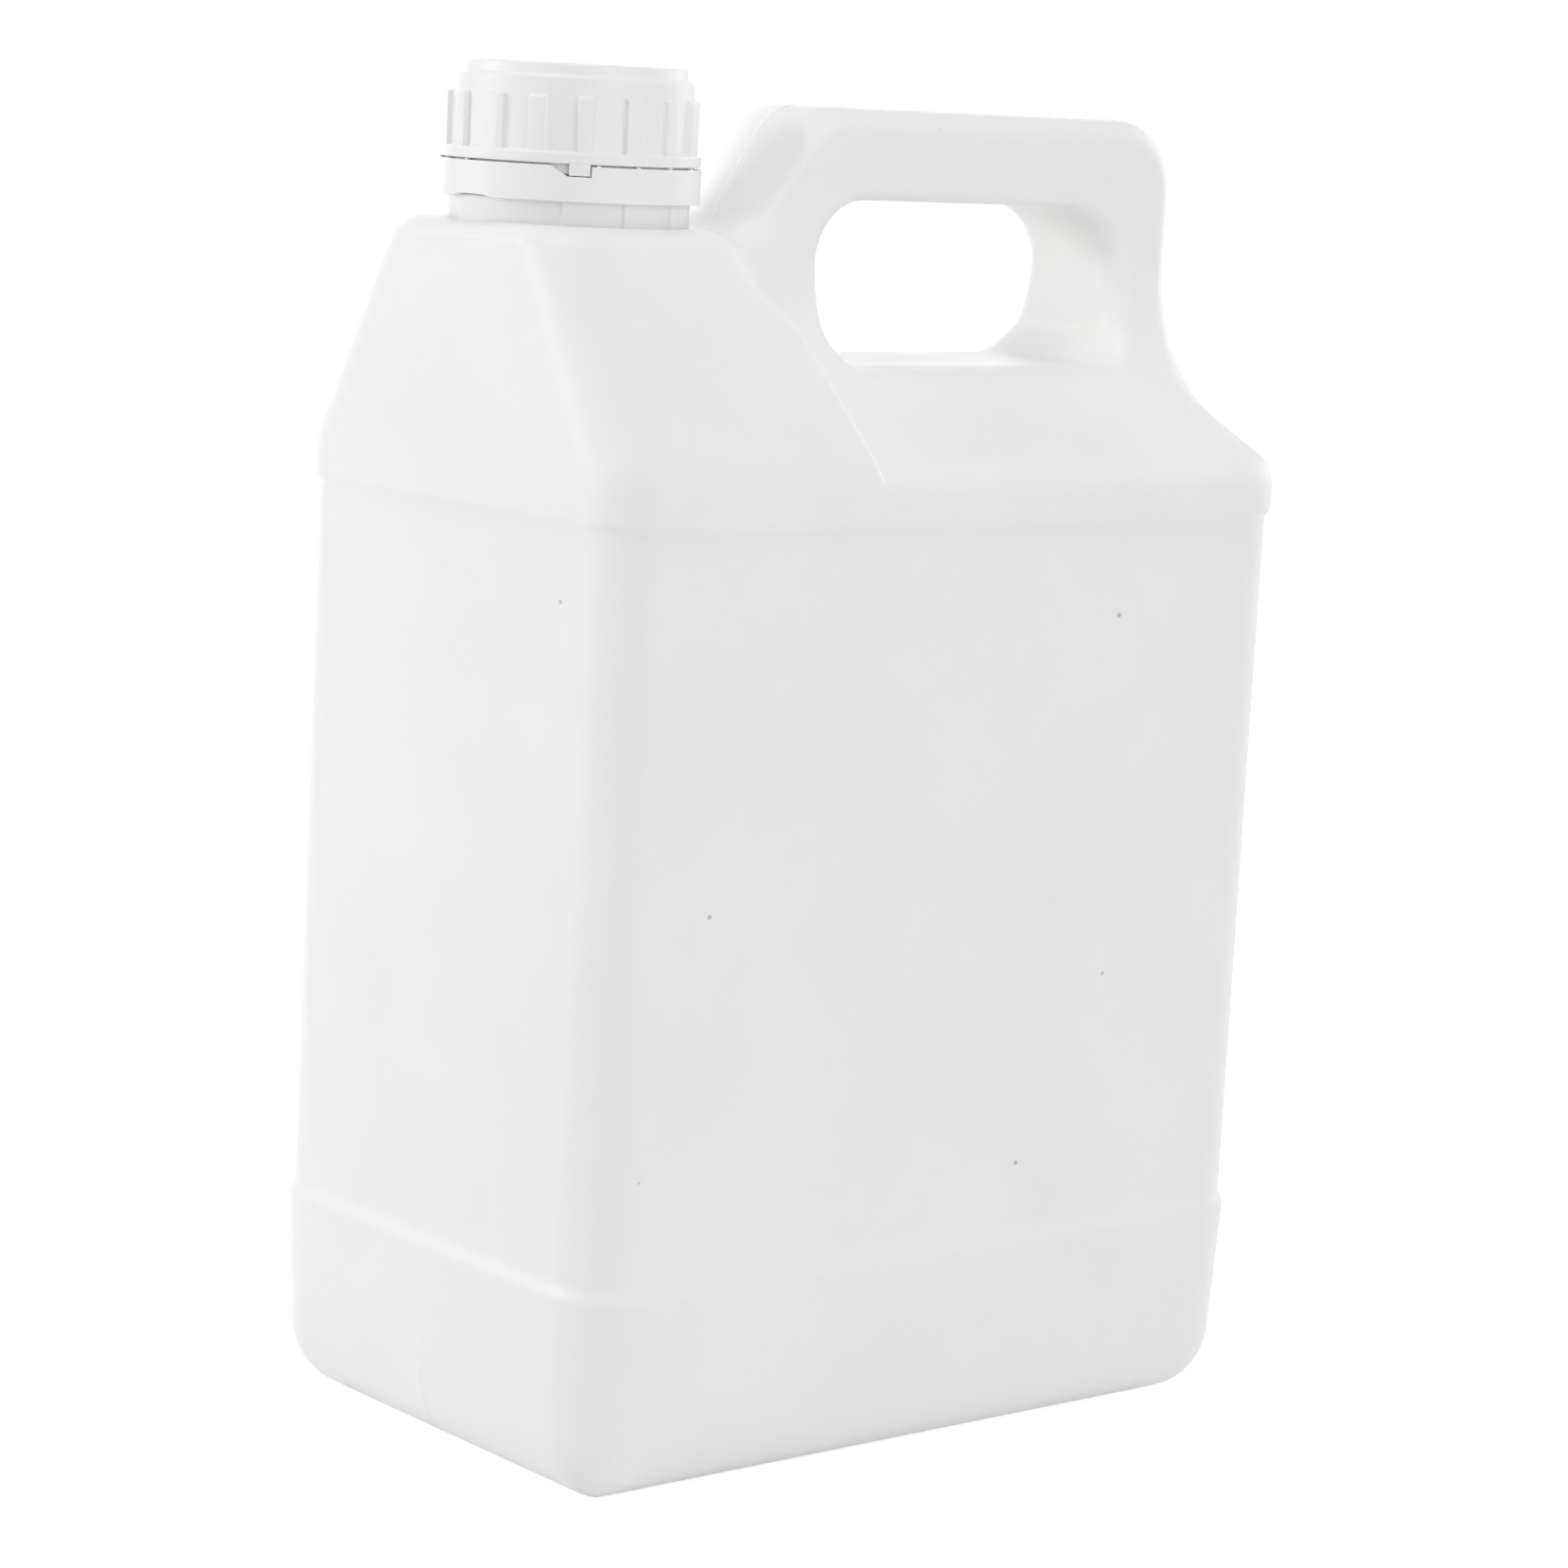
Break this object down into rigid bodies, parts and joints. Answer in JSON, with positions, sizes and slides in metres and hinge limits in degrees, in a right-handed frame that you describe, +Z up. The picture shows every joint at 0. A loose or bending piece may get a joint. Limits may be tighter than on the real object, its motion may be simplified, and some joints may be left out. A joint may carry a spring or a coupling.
{
  "type": "water storage container",
  "caption": "Rectangular blow-moulded water container with a pinched carry handle, an end neck, a ribbed screw cap, a tamper ring and a sealing wad.",
  "frame": {"origin": "middle of the base, on the surface that the container stands on", "axes": "+Z up, X along the length with the neck at the -X end, Y across the width"},
  "size_m": [0.1924, 0.1234, 0.3],
  "materials": {
    "body_plastic": "white polyethylene, satin, slightly wavy from blow moulding",
    "closure_plastic": "white polyethylene, satin, injection moulded",
    "wad_foam": "fine closed foam, dull"
  },
  "bodies": {
    "container": {"container_body": "body_plastic", "container_neck": "body_plastic"},
    "ring": {"tamper_ring": "closure_plastic"},
    "wad": {"sealing_wad": "wad_foam"},
    "cap": {"screw_cap": "closure_plastic"}
  },
  "joints": [
    {"name": "cap_lift", "type": "slide", "parent": "container", "child": "wad", "axis": [0, 0, 1], "range_m": [0, 0.01125]},
    {"name": "cap_turn", "type": "hinge", "parent": "wad", "child": "cap", "pos_m": [-0.0682, 0, 0.2797], "axis": [0, 0, 1], "range_deg": [0, 810]},
    {"name": "ring_turn", "type": "hinge", "parent": "container", "child": "ring", "pos_m": [-0.0682, 0, 0.2797], "axis": [0, 0, 1], "range_deg": [0, 810]}
  ],
  "couplings": [
    {"joint": "cap_lift", "follows": "cap_turn", "m_per_rad": 0.00079577},
    {"joint": "ring_turn", "follows": "cap_turn", "ratio": 1}
  ]
}
